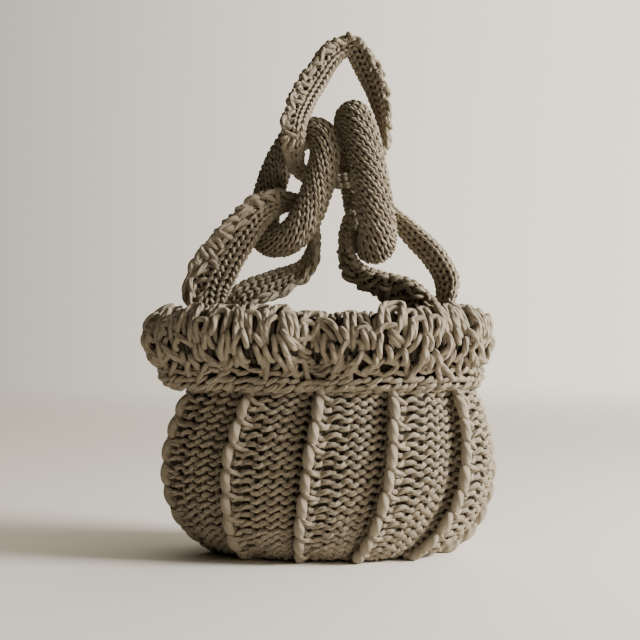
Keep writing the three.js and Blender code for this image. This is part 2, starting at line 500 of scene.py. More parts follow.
def oval_point(wide: Array, deep: Array, angle: Array, out: Array, up: Array) -> Array:
    """Gives points that stand straight out from an oval.

    Args:
        wide: Half the oval's width.
        deep: Half its depth.
        angle: The angle from the front middle.
        out: How far each point stands out.
        up: The height of each point.

    Returns:
        The points.
    """
    normal = unit(np.stack(np.broadcast_arrays(np.sin(angle) / wide, -np.cos(angle) / deep), -1))
    x = wide * np.sin(angle) + normal[..., 0] * out
    y = -deep * np.cos(angle) + normal[..., 1] * out
    return np.stack(np.broadcast_arrays(x, y, up), -1)


@dataclass
class Pouch:
    """The pouch: purl panels between slipped ribs, worked in the round and pleated."""

    node: str = "bag_body"
    slot: str = "knit_body"
    ribs: int = 10
    first_rib: float = -0.029  # turn from the front middle to the first rib's crest
    purls: int = 4  # purl stitches between two ribs
    rows: int = 23
    first_row: float = 4.0
    row: float = 6.55
    points: int = 13  # to a stitch
    yarn: float = 2.1
    loop: Loop = Loop(Face.PURL, swing=0.14, reach=4.9, depth=2.2)
    float_sunk: float = 3.0  # how far the yarn lies back behind a rib
    float_edge: Span = (0.2, 0.6)  # stitches from a rib's middle over which it comes forward
    uneven: Span = (0.4, 0.35)  # unevenness of the stitches upwards and outwards
    top_margin: float = 1.0  # how far below the neck's edge the yarn stops
    probe: Span = (1e-3, 1.0)  # steps round and up that give the outward direction

    rib_links: int = 9
    rib_pitch: float = 17.2
    rib_points: int = 18
    rib_yarn: float = 4.0
    rib_overlap: float = 0.03  # share of its length by which a slipped stitch runs past each notch
    rib_way: Span = (0.5, -0.8)  # sideways place of its foot and its head on the crest
    rib_bow: float = 0.8
    rib_swell: float = 0.4
    rib_notch: float = 2.8  # how far its ends are sunk
    rib_waist: float = 0.6  # share of its thickness at its ends
    rib_ends: Span = (0.5, 0.12)
    rib_uneven: Span = (0.5, 0.35)  # unevenness of its place upwards and sideways
    rib_fatness: float = 0.05  # unevenness of its thickness, as a share

    leg_yarn: float = 1.75
    leg_reach: float = 14.0
    leg_drop: float = 7.5
    leg_start: Span = (2.2, 2.0)  # how far left of the notch, and above it, a leg starts
    leg_swell: float = 0.6
    leg_dive: float = 3.2  # how far its ends are sunk
    leg_curve: float = 0.4  # how soon it dives, as a power
    leg_sunk: float = 2.1
    leg_ends: Span = (0.4, 0.2)
    leg_uneven: Span = (0.12, 0.1)  # unevenness of its drop and its reach, as shares

    core_yarn: float = 2.9
    core_points: int = 6  # to a slipped stitch
    core_shift: Span = (0.6, 1.2)  # how far left of the crest, and under its stitches, the core lies

    base_row: float = 7.0
    base_stitch: float = 10.5
    base_squash: float = 0.9

    layer_columns: int = 16  # to a panel
    layer_rows: int = 32
    layer_sunk: float = 1.2
    layer_floor: float = 2.0
    neck_tuck: float = 11.0  # how far the layer goes up inside the collar

    # From the base to the neck: height, half width, half depth, sway of the ribs and share of the relief.
    sections: Table = (
        (0, 77, 34, -15, 0.5),
        (3, 87, 40, -14, 0.7),
        (10, 97, 46, -12, 0.9),
        (22, 108.5, 51, -8, 1),
        (38, 117.5, 54, -4, 1),
        (56, 122.5, 55.5, -1, 1),
        (74, 123, 55.5, 1, 1),
        (92, 120, 54, 4, 1),
        (109, 115, 50.5, 7, 1),
        (122, 109, 46.5, 9, 0.7),
        (129, 106.5, 44, 10, 0.2),
    )
    # One pleat from a rib's crest to the next: share of the panel, and how far it stands out.
    pleat: Table = (
        (0, 5.5),
        (0.06, 4.5),
        (0.13, 1.5),
        (0.36, 1.5),
        (0.6, 0.5),
        (0.8, -2.5),
        (0.9, -7),
        (0.955, -2),
        (1, 5.5),
    )
    # Where each stitch of a repeat starts, as a share of the panel: the rib, a long purl, three short ones.
    stitch_edges: tuple[float, ...] = (-0.08, 0.08, 0.395, 0.575, 0.75, 0.92)
    # For each stitch edge: how full the loops are, how far every second row lies back,
    fullness: tuple[float, ...] = (0.85, 0.85, 1.0, 1.0, 1.0, 0.85)
    recess: tuple[float, ...] = (0.8, 1.6, 0.5, 0.0, 0.0, 0.3)
    # and how far the yarn rises to the right over the head and foot of a loop.
    climb: tuple[float, ...] = (0.3, 1.1, 0.8, 0.4, 0.4, 0.3)
    # Every second row turns this share of the rise back.
    second_turn: tuple[float, ...] = (0.6, 1.3, 0.6, 0.0, 0.0, 0.0)

    def __post_init__(self) -> None:
        """Measures the way up the pouch's side and the girth of its belly."""
        self.wall = np.array(self.sections)
        self.reached = lengths_along(self.wall[:, :2])
        self.top = self.reached[-1] - self.top_margin
        belly = self.wall[np.argmax(self.wall[:, 1])]
        self.oval = Oval(belly[1], belly[2])
        self.panel = self.oval.girth / self.ribs

    def column(self, rise: Array, which: int) -> Array:
        """Gives one column of the sections at a distance up the side."""
        return np.interp(rise, self.reached, self.wall[:, which])

    def turn(self, rib: Array, across: Array, rise: Array) -> Array:
        """Gives the turn round the pouch of a place across a rib's panel."""
        return self.first_rib + (rib + across) / self.ribs + self.column(rise, 3) / self.oval.girth

    def skin(self, turn: Array, rise: Array) -> Array:
        """Gives a point on the pouch's outside without its pleats."""
        up, wide, deep = (self.column(rise, which) for which in range(3))
        return oval_point(wide, deep, self.oval.angle(turn), np.zeros(1), up)

    def lay(self, rib: Array, across: Array, rise: Array, depth: Array, fold: Array) -> tuple[Array, Array]:
        """Lays points on the pouch.

        Args:
            rib: The rib that starts the panel.
            across: The share of the panel from that rib.
            rise: The distance up the side.
            depth: How far the points stand out from the outside face.
            fold: The place in the pleat whose height they take.

        Returns:
            The points and the outward directions there.
        """
        turn = self.turn(rib, across, rise)
        step_round, step_up = self.probe
        along = self.skin(turn + step_round, rise) - self.skin(turn - step_round, rise)
        upward = self.skin(turn, rise + step_up) - self.skin(turn, rise - step_up)
        normal = unit(np.cross(along, upward))
        relief = np.interp(fold % 1.0, *np.transpose(self.pleat)) * self.column(rise, 4)
        return self.skin(turn, rise) + normal * (relief + depth)[..., None], normal

    def add_courses(self, mesh: YarnMesh, seed: Random) -> None:
        """Knits the courses round the pouch.

        Args:
            mesh: The mesh that takes them.
            seed: The random numbers.
        """
        repeat = self.purls + 1
        stitches = self.ribs * repeat
        phase = np.arange(stitches * self.points) / self.points
        place = phase % repeat
        from_rib = np.abs((place - 0.5 + repeat / 2) % repeat - repeat / 2)
        near, far = self.float_edge
        woven = ease((from_rib - near) / (far - near))
        side, up, out = self.loop.weave(phase)
        edges = np.arange(repeat + 1)
        shifted = place + side * woven
        across = np.floor(shifted / repeat) + np.interp(shifted % repeat, edges, self.stitch_edges)
        full = np.interp(place, edges, self.fullness) * woven
        back = np.interp(place, edges, self.recess)

        row = np.arange(self.rows)[:, None]
        second = (row % 2).astype(float)
        turned = 1 - second * np.interp(place, edges, self.second_turn)
        slant = np.interp(place, edges, self.climb) * np.sin(2 * TURN * phase) * woven * turned
        rise = self.first_row + row * self.row + up * full + slant
        rise = rise + wobble(seed, self.rows, stitches, self.points, self.uneven[0])
        rise = np.minimum(rise, self.top)
        sunk = self.loop.depth + self.yarn + self.float_sunk * (1 - woven)
        depth = out * woven - sunk - second * back
        depth = depth + wobble(seed, self.rows, stitches, self.points, self.uneven[1])
        rib = np.broadcast_to(np.floor(phase / repeat), rise.shape)
        across = np.broadcast_to(across, rise.shape)
        path, over = self.lay(rib, across, rise, depth, across)
        mesh.add_tubes(path, over, self.yarn, closed=True)

    def add_ribs(self, mesh: YarnMesh, seed: Random) -> None:
        """Lays the ribs: their slipped stitches, the legs that cross these and the cores under them.

        Args:
            mesh: The mesh that takes them.
            seed: The random numbers.
        """
        grid = np.meshgrid(np.arange(self.ribs), np.arange(self.rib_links))
        rib, link = (places.ravel()[:, None] for places in grid)
        notch = self.first_row + link * self.rib_pitch + seed.normal(0, self.rib_uneven[0], link.shape)
        self.add_slips(mesh, rib, notch, seed)
        self.add_legs(mesh, rib, notch, seed)
        self.add_cores(mesh)

    def add_slips(self, mesh: YarnMesh, rib: Array, notch: Array, seed: Random) -> None:
        """Lays a fat slipped stitch up the crest from each notch.

        Args:
            mesh: The mesh that takes them.
            rib: The rib of each notch.
            notch: How far up the side each notch is.
            seed: The random numbers.
        """
        share = np.linspace(0, 1, self.rib_points)[None]
        arch = np.sin(math.pi * share)
        crest = np.zeros((len(rib), self.rib_points))
        past = self.rib_overlap
        rise = np.minimum(notch + ((1 + 2 * past) * share - past) * self.rib_pitch, self.top)
        foot, head = self.rib_way
        sideways = foot + (head - foot) * share - self.rib_bow * arch
        sideways = sideways + seed.normal(0, self.rib_uneven[1], notch.shape)
        depth = self.rib_swell * arch - self.rib_notch * (1 - np.sqrt(arch)) - self.rib_yarn
        path, over = self.lay(rib + crest, sideways / self.panel + crest, rise, depth + crest, crest)
        fat = self.rib_yarn * seed.normal(1.0, self.rib_fatness, notch.shape)
        waist = self.rib_waist + (1 - self.rib_waist) * np.sqrt(arch)
        mesh.add_tubes(path, over, fat * waist * round_ends(self.rib_points, *self.rib_ends), Facets.FAT)

    def add_legs(self, mesh: YarnMesh, rib: Array, notch: Array, seed: Random) -> None:
        """Lays a thin leg across the foot of each slipped stitch and down into the panel.

        Args:
            mesh: The mesh that takes them.
            rib: The rib of each notch.
            notch: How far up the side each notch is.
            seed: The random numbers.
        """
        share = np.linspace(0, 1, self.rib_points)[None]
        arch = np.sin(math.pi * share)
        crest = np.zeros((len(rib), self.rib_points))
        drop = self.leg_drop * seed.normal(1.0, self.leg_uneven[0], notch.shape)
        reach = self.leg_reach * seed.normal(1.0, self.leg_uneven[1], notch.shape)
        left, above = self.leg_start
        rise = np.minimum(notch + above - drop * (1 - (1 - share) ** 2), self.top)
        across = (reach * share - left) / self.panel + crest
        depth = self.leg_swell * arch - self.leg_dive * (1 - arch**self.leg_curve) - self.leg_sunk
        path, over = self.lay(rib + crest, across, rise, depth + crest, np.maximum(across, 0.0))
        thick = self.leg_yarn * round_ends(self.rib_points, *self.leg_ends)[None]
        mesh.add_tubes(path, over, thick, Facets.LOOSE)

    def add_cores(self, mesh: YarnMesh) -> None:
        """Lays the cord of hidden yarn that fills each rib.

        Args:
            mesh: The mesh that takes them.
        """
        rise = np.linspace(self.first_row, self.top, self.core_points * self.rib_links)[None]
        rise, rib = np.broadcast_arrays(rise, np.arange(self.ribs)[:, None])
        level = np.zeros(rise.shape)
        left, under = self.core_shift
        path, over = self.lay(rib, level - left / self.panel, rise, level - self.rib_yarn - under, level)
        mesh.add_tubes(path, over, self.core_yarn, Facets.FAT)

    def add_base(self, mesh: YarnMesh) -> None:
        """Knits the flat rows that the bag stands on.

        Args:
            mesh: The mesh that takes them.
        """
        wide, deep = self.wall[0, 1:3]
        for y in np.arange(-deep + self.base_row / 2, deep, self.base_row):
            half = wide * math.sqrt(1 - (y / deep) ** 2)
            stitches = max(2, round(2 * half / self.base_stitch))
            phase = np.arange(stitches * self.points + 1) / self.points
            side, up, out = self.loop.weave(phase)
            x = -half + (phase + side) * 2 * half / stitches
            z = self.loop.depth + self.yarn + FLOOR_CLEARANCE - out
            path = np.stack([x, y + up * self.base_squash, z], -1)[None]
            over = np.broadcast_to(np.array([0.0, 0.0, -1.0]), path.shape)
            mesh.add_tubes(path, over, self.yarn)

    def add_under_layer(self, mesh: YarnMesh) -> None:
        """Adds the layer in the middle of the wall, over the base and up inside the collar, in painted shade.

        Args:
            mesh: The mesh that takes it.
        """
        across = np.arange(self.ribs * self.layer_columns) / self.layer_columns
        rise = np.linspace(0, self.reached[-1], self.layer_rows)[:, None]
        rib, across, rise = np.broadcast_arrays(np.floor(across), across % 1.0, rise)
        depth = np.full(rib.shape, -self.loop.depth - self.yarn - self.layer_sunk)
        side = self.lay(rib, across, rise, depth, across)[0]
        floor = side[:1] * np.array([0.0, 0.0, 1.0]) + np.array([0.0, 0.0, self.layer_floor])
        tuck = side[-1:] + np.array([0.0, 0.0, self.neck_tuck])
        mesh.add_sheet(np.concatenate([floor, side, tuck]), wrap_down=False, wrap_across=True)

    def build(self, seed: Random) -> list[bpy.types.Object]:
        """Builds the pouch's knit and its ribs.

        Args:
            seed: The random numbers.

        Returns:
            The new pieces.
        """
        knit, ribs = YarnMesh("pouch_knit"), YarnMesh("pouch_ribs")
        self.add_courses(knit, seed)
        self.add_under_layer(knit)
        self.add_ribs(ribs, seed)
        self.add_base(ribs)
        return [mesh.build(self.node, self.slot) for mesh in (knit, ribs)]


@dataclass(frozen=True)
class Tier:
    """A tier of long loose loops on the collar's roll."""

    pitch: float  # distance from loop to loop
    sunk: Span  # how far the loops lie under the outside face
    tight: Span  # how far apart a loop's legs are at its head
    spread: Span  # how much farther apart they are at their feet
    lean: float  # how far a loop's head usually stands to one side of its feet
    low: Span  # where the feet lie, as a way round the section
    high: Span  # where the heads lie
    uneven: float = 0.16  # unevenness of the loops' spacing
    run: int = 4  # loops from one lean to the next
    bow: float = 1.9  # how far a leg usually bows sideways
    bend: Span = (0.34, 0.66)  # share of the strand that makes the bend at the head
    curl: Point = (2.2, 1.6, 1.4)  # how late the legs fall, part and lean, as powers
    fatness: float = 0.06  # unevenness of the yarn's thickness, as a share


@dataclass(frozen=True)
class Uprights:
    """Rows of close upright strands on the collar."""

    spans: tuple[Span, ...]  # the ways round the section from which and to which each row goes
    pitch: float
    uneven: float  # unevenness of their spacing
    tilt: float  # how far an end usually stands to one side
    spread: float  # how far the ends may lie above and below the span's
    sunk: Span  # how far the strands lie under the outside face
    facets: Facets
    layer: Layer


@dataclass
class Collar:
    """The collar: a band of slanting stitches, and a fat roll of long loose loops over it."""

    node: str = "rolled_collar"
    slot: str = "knit_collar"
    sidestep: float = -4.0
    neck: Span = (109.0, 46.5)  # half width and half depth of the oval that the section goes round
    neck_up: float = 122.4
    roll_way: float = 45.0  # the way round the section to the roll's outside
    section_steps: int = 12  # steps that smooth the section, between two of its points
    girth_steps: int = 720
    probe: Span = (2e-3, 1.5)  # steps round and up that give the outward direction

    gather: float = -0.015  # the turn at which the collar is drawn in
    gather_way: float = 23.0  # the way round the section to the middle of its hollow
    gather_half: Span = (10.0, 12.0)  # how far the hollow reaches sideways and upwards
    gather_deep: float = 6.5
    gather_pull: Span = (0.4, 0.05)  # how strongly it draws strands to itself, and over what turn

    loop_yarn: float = 2.2
    loop_points: int = 25
    loop_ends: Span = (0.4, 0.1)
    end_dive: float = 4.5  # how far the ends of strands are sunk
    tiers: tuple[Tier, ...] = (
        Tier(12.8, (0.6, 2.8), (4.6, 7.2), (-1.8, 2.8), 3.0, (34, 46), (64, 86)),
        Tier(13.6, (-1.8, 1.0), (4.8, 8.2), (-2.8, 3.8), 4.5, (34, 50), (56, 81)),
    )
    # The strands under the loose ones, in yarn painted darker as shade, and those that hang down inside the
    # mouth.
    bed: Uprights = Uprights(
        ((12.0, 47.0), (43.0, 84.0)), 5.2, 0.14, 2.5, 3.0, (4.4, 5.8), Facets.FINE, Layer.DEPTH
    )
    inside: Uprights = Uprights(
        ((84.0, 112.0), (108.0, 140.0)), 6.8, 0.25, 4.5, 4.0, (0.0, 1.5), Facets.LOOSE, Layer.YARN
    )

    strand_points: int = 14
    strand_ends: Span = (0.45, 0.16)
    strand_half: Span = (7.0, 12.0)  # half the length of a loose strand
    strand_uneven: float = 0.3
    strand_drift: float = 4.0  # how far a strand usually lies above or below its row
    strand_bow: float = 2.4
    strand_sunk: Span = (-1.8, 2.2)
    # The rows of loose strands: the way round the section, the pitch, and the spread of their slant in
    # degrees.
    strand_rows: Table = ((20.0, 7.0, 55.0), (28.0, 6.2, 24.0), (43.0, 7.4, 22.0), (56.0, 13.0, 26.0))

    band_yarn: float = 1.9
    band_pair: float = 16.4  # width of two stitches
    band_step: float = 0.37  # share of a stitch from row to row
    band_half: Span = (5.8, 0.9)  # half the length of a stitch, and its unevenness
    band_uneven: float = 0.18
    band_slope: float = 0.9  # unevenness of a stitch's slope
    band_drift: float = 0.7
    band_bow: float = 0.8
    band_sunk: Span = (-0.9, 1.4)
    # The rows of the band: the way round the section, the rise of a stitch, and which way every second one
    # goes.
    band_rows: Table = ((-1.5, 2.0, 1.0), (3.6, 2.0, 1.0), (9.0, 1.8, 1.0), (15.5, 1.8, -0.8))

    layer_rows: int = 48
    layer_columns: int = 160
    layer_sunk: Span = (4.0, 0.0)  # how far the layer lies under the loops outside and in the mouth
    layer_edge: Span = (80.0, 100.0)  # the ways between which it changes from one to the other

    # The section: how far out, how high, and how much it follows the band's folds and the roll's.
    section: Table = (
        (3, 122.4, 0.5, 0),
        (7, 130, 1, 0),
        (8.5, 138, 0.8, 0.2),
        (17, 145, 0.2, 0.8),
        (22.5, 157, 0, 1),
        (21.5, 170, 0, 1),
        (14, 181, 0, 0.8),
        (4, 186, 0, 0.4),
        (-5, 182, 0, 0.1),
        (-10, 170, 0, 0),
        (-11, 146, 0, 0),
        (-9, 122.4, 0, 0),
    )
    # Round the mouth: turn, swell of the band, swell of the roll, and lift of the rim.
    folds: Table = (
        (-0.33, 2, 1, 0),
        (-0.25, 9, 6, 0),
        (-0.17, 5, 3, 1),
        (-0.1, 0, 1, 2),
        (-0.055, 0, -1, 1),
        (-0.015, -4, -11, -4),
        (0.03, 0, -2, -4),
        (0.1, 1, 1, 0),
        (0.19, 2, -2, 2),
        (0.25, 3, -5, 1),
        (0.36, 0, -1, 0),
        (0.5, -1, -3, -2),
    )

    def __post_init__(self) -> None:
        """Smooths the section, and measures the way round it and round the roll's outside."""
        folds = np.array(self.folds)
        self.creases = np.concatenate([folds, folds[:1] + np.array([1.0, 0.0, 0.0, 0.0])])
        rows = np.array(self.section)
        r0, r1, r2, r3 = (np.roll(rows, step, 0)[:, None] for step in (1, 0, -1, -2))
        t = np.linspace(0, 1, self.section_steps, endpoint=False)[None, :, None]
        bend = 2 * r0 - 5 * r1 + 4 * r2 - r3
        twist = 3 * (r1 - r2) + r3 - r0
        smooth = (r1 + 0.5 * t * (r2 - r0 + t * (bend + t * twist))).reshape(-1, rows.shape[1])
        self.smooth = np.concatenate([smooth, smooth[:1]])
        self.reached = lengths_along(self.smooth[:, :2])
        self.crown = float(rows[:, 1].max())
        self.oval = Oval(*self.neck)
        self.turns = np.linspace(0, 1, self.girth_steps + 1)
        outside = lengths_along(self.skin(self.turns, np.full(self.turns.shape, self.roll_way)))
        self.girth = float(outside[-1])
        self.shares = outside / self.girth

    def swell(self, turn: Array, which: int) -> Array:
        """Gives one column of the folds, eased from fold to fold.

        Args:
            turn: The turn round the mouth.
            which: The column.

        Returns:
            Its value at each turn.
        """
        turns, values = self.creases[:, 0], self.creases[:, which]
        wrapped = (turn - turns[0]) % 1.0 + turns[0]
        at = np.clip(np.searchsorted(turns, wrapped, side="right") - 1, 0, len(turns) - 2)
        part = (1 - np.cos(math.pi * (wrapped - turns[at]) / (turns[at + 1] - turns[at]))) / 2
        return values[at] + (values[at + 1] - values[at]) * part

    def skin(self, turn: Array, way: Array) -> Array:
        """Gives points on the collar's outside.

        Args:
            turn: The turn round the mouth.
            way: The distance round the section from the band's foot.

        Returns:
            The points.
        """
        out, up, band, roll = (np.interp(way % self.reached[-1], self.reached, c) for c in self.smooth.T)
        height = np.maximum(0, (up - self.neck_up) / (self.crown - self.neck_up))
        out = out + band * self.swell(turn, 1) + roll * self.swell(turn, 2)
        lifted = up + self.swell(turn, 3) * height
        point = oval_point(*self.neck, self.oval.angle(turn), out, lifted)
        return point + np.array([self.sidestep, 0.0, 0.0])

    def even(self, share: Array) -> Array:
        """Gives the turn at which a share of the way round the roll's outside is reached."""
        return np.interp(share % 1.0, self.shares, self.turns)

    def hollow(self, turn: Array, way: Array) -> Array:
        """Gives how far the gather draws the collar in.

        Args:
            turn: The turn round the mouth.
            way: The distance round the section from the band's foot.

        Returns:
            The depth of the hollow there.
        """
        sideways = offset(turn, self.gather) * self.oval.girth / self.gather_half[0]
        upwards = (way - self.gather_way) / self.gather_half[1]
        return self.gather_deep * np.exp(-(sideways**2) - upwards**2)

    def lay(self, turn: Array, way: Array, depth: Array) -> tuple[Array, Array]:
        """Lays points on the collar.

        Args:
            turn: The turn round the mouth.
            way: The distance round the section from the band's foot.
            depth: How far the points stand out from the outside face.

        Returns:
            The points and the outward directions there.
        """
        step_round, step_up = self.probe
        along = self.skin(turn + step_round, way) - self.skin(turn - step_round, way)
        upward = self.skin(turn, way + step_up) - self.skin(turn, way - step_up)
        normal = unit(np.cross(along, upward))
        return self.skin(turn, way) + normal * (depth - self.hollow(turn, way))[..., None], normal

    def add_strands(
        self,
        mesh: YarnMesh,
        ends: Array,
        depth: Array,
        bow: Array,
        radius: float,
        facets: Facets = Facets.LOOSE,
        layer: Layer = Layer.YARN,
    ) -> None:
        """Lays loose strands that dive into the collar at both ends.

        Args:
            mesh: The mesh that takes them.
            ends: The share round the roll and the way of each strand's two ends.
            depth: How far each strand lies under the outside face.
            bow: How far each strand bows sideways, as a share.
            radius: The yarn's radius.
            facets: The facets round the yarn.
            layer: The finish that the strands take.
        """
        share = np.linspace(0, 1, self.strand_points)[None]
        arch = np.sin(math.pi * share)
        turn = self.even(ends[:, :1] * (1 - share) + ends[:, 2:3] * share + bow[:, None] * arch)
        way = ends[:, 1:2] * (1 - share) + ends[:, 3:4] * share
        sunk = -radius - depth[:, None] - self.end_dive * (1 - np.sqrt(arch))
        path, over = self.lay(turn, way, sunk)
        thick = radius * round_ends(self.strand_points, *self.strand_ends)[None]
        mesh.add_tubes(path, over, thick, facets, layer=layer)

    def add_tier(self, mesh: YarnMesh, tier: Tier, seed: Random) -> None:
        """Lays one tier: two legs to a loop, joined by a tight bend at its head.

        Args:
            mesh: The mesh that takes it.
            tier: How its loops lie.
            seed: The random numbers.
        """
        count = round(self.girth / tier.pitch)
        start = spaced(seed, count, tier.uneven)[:, None]
        runs = math.ceil(count / tier.run)
        drift = wobble(seed, 1, runs, tier.run, tier.lean)[0, :count]
        lean = (drift + seed.normal(0, tier.lean, count))[:, None]
        share = np.linspace(0, 1, self.loop_points)[None]
        arch = np.sin(math.pi * share)
        foot = np.abs(2 * share - 1)
        left = share < 0.5
        low = np.where(left, *seed.uniform(*tier.low, (2, count, 1)))
        apart = seed.uniform(*tier.spread, (2, count, 1))
        spread = np.where(left, -apart[0], apart[1])
        first, last = tier.bend
        tight = seed.uniform(*tier.tight, (count, 1)) * (ease((share - first) / (last - first)) - 0.5)
        top = seed.uniform(*tier.high, (count, 1))
        fall, part, tip = tier.curl
        way = top - (top - low) * foot**fall
        bow = seed.normal(0, tier.bow, (count, 1)) * np.sin(TURN * share)
        sideways = tight + spread * foot**part + lean * (0.5 - foot**tip) + bow
        turn = self.even(start + sideways / self.girth)
        sunk = seed.uniform(*tier.sunk, (count, 1))
        depth = -self.loop_yarn - sunk - self.end_dive * (1 - np.sqrt(arch))
        path, over = self.lay(turn, way, depth)
        fat = self.loop_yarn * seed.normal(1.0, tier.fatness, (count, 1))
        mesh.add_tubes(path, over, fat * round_ends(self.loop_points, *self.loop_ends)[None], Facets.LOOSE)

    def add_uprights(self, mesh: YarnMesh, rows: Uprights, seed: Random) -> None:
        """Lays rows of close upright strands.

        Args:
            mesh: The mesh that takes them.
            rows: How the strands lie.
            seed: The random numbers.
        """
        count = round(self.girth / rows.pitch)
        for low, high in rows.spans:
            start = spaced(seed, count, rows.uneven)
            tilt = seed.normal(0, rows.tilt, count) / self.girth
            spread = seed.uniform(-rows.spread, rows.spread, (2, count))
            ends = np.stack([start - tilt, low + spread[0], start + tilt, high + spread[1]], -1)
            sunk = seed.uniform(*rows.sunk, count)
            self.add_strands(mesh, ends, sunk, np.zeros(count), self.loop_yarn, rows.facets, rows.layer)

    def add_loose_strands(self, mesh: YarnMesh, seed: Random) -> None:
        """Lays the rows of loose strands between the band and the rim, drawn together at the gather.

        Args:
            mesh: The mesh that takes them.
            seed: The random numbers.
        """
        strength, reach = self.gather_pull
        for middle, pitch, slant_spread in self.strand_rows:
            count = round(self.girth / pitch)
            start = spaced(seed, count, self.strand_uneven)
            off = offset(self.even(start), self.gather)
            pulled = -strength * off * np.exp(-((off / reach) ** 2))
            half = seed.uniform(*self.strand_half, count)
            slant = np.radians(seed.normal(0, slant_spread, count))
            across, upward = half * np.sin(slant) / self.girth, half * np.cos(slant)
            way = middle + seed.normal(0, self.strand_drift, count)
            ends = np.stack([start + pulled - across, way - upward, start + across, way + upward], -1)
            bow = seed.normal(0, self.strand_bow, count) / self.girth
            sunk = seed.uniform(*self.strand_sunk, count)
            self.add_strands(mesh, ends, sunk, bow, self.loop_yarn)

    def add_band(self, mesh: YarnMesh, seed: Random) -> None:
        """Lays the band: rows of slanting stitches, the uppermost with its stitches to and fro.

        Args:
            mesh: The mesh that takes it.
            seed: The random numbers.
        """
        count = 2 * round(self.girth / self.band_pair)
        odd = np.arange(count) % 2 == 1
        for row, (way, slope, fro) in enumerate(self.band_rows):
            start = spaced(seed, count, self.band_uneven, shift=self.band_step * row)
            half = seed.normal(*self.band_half, count) / self.girth
            rise = seed.normal(slope, self.band_slope, count) * np.where(odd, 1.0, fro)
            level = way + seed.normal(0, self.band_drift, count)
            ends = np.stack([start - half, level - rise, start + half, level + rise], -1)
            bow = seed.normal(0, self.band_bow, count) / self.girth
            self.add_strands(mesh, ends, seed.uniform(*self.band_sunk, count), bow, self.band_yarn)

    def add_under_layer(self, mesh: YarnMesh) -> None:
        """Adds the roll under the loops, in yarn painted darker as shade.

        Args:
            mesh: The mesh that takes it.
        """
        turn = np.linspace(0, 1, self.layer_columns, endpoint=False)[None]
        way = np.linspace(0, self.reached[-1], self.layer_rows, endpoint=False)[:, None]
        turn, way = np.broadcast_arrays(turn, way)
        sunk = np.interp(way, self.layer_edge, self.layer_sunk)
        points = self.lay(turn, way, -2 * self.loop_yarn - sunk)[0]
        mesh.add_sheet(points, wrap_down=True, wrap_across=True)

    def build(self, seed: Random) -> list[bpy.types.Object]:
        """Builds the collar's loops, and its band with the strands in the mouth and the layer under them all.

        Args:
            seed: The random numbers.

        Returns:
            The new pieces.
        """
        loops, band = YarnMesh("collar_loops"), YarnMesh("collar_band")
        self.add_uprights(loops, self.bed, seed)
        self.add_loose_strands(loops, seed)
        for tier in self.tiers:
            self.add_tier(loops, tier, seed)
        self.add_uprights(band, self.inside, seed)
        self.add_band(band, seed)
        self.add_under_layer(band)
        return [mesh.build(self.node, self.slot) for mesh in (loops, band)]


@dataclass(frozen=True)
class Tangle:
    """Long loose strands that lie criss-cross on one half of a strip and over its edge."""

    span: Span  # share of the ring that has them
    band: Span  # share of the section's outline that has them
    count: int
    half: Span = (5.0, 9.0)  # half the length of a strand
    slant: Span = (-25.0, 40.0)  # middle and spread of its angle from straight across, in degrees
    sunk: Span = (-1.4, 1.4)  # how far the strands lie under the outside face
    yarn: float = 2.05
    points: int = 15
    ends: Span = (0.4, 0.14)
    end_dive: float = 4.0  # how far their ends are sunk
    bow: float = 1.4
    step: float = 0.618  # share of the band from one strand to the next, so that neighbours lie apart
    jitter: float = 0.2
    fatness: float = 0.07  # unevenness of the yarn's thickness, as a share
    recess: float = 2.8  # how far the courses under them lie back
    fade: Span = (0.03, 0.05)  # shares of the ring and of the outline over which the recess ends

    def cover(self, along: Array, around: Array) -> Array:
        """Gives how far the courses lie back under the strands.

        Args:
            along: The share of the ring's length.
            around: The share of the section's outline.

        Returns:
            The recess at each place.
        """
        inside = np.ones(1)
        limits = ((along, self.span, self.fade[0]), (around, self.band, self.fade[1]))
        for place, (first, last), fade in limits:
            away = np.abs(offset(place, (first + last) / 2))
            inside = inside * ease(((last - first) / 2 - away) / fade + 0.5)
        return self.recess * inside


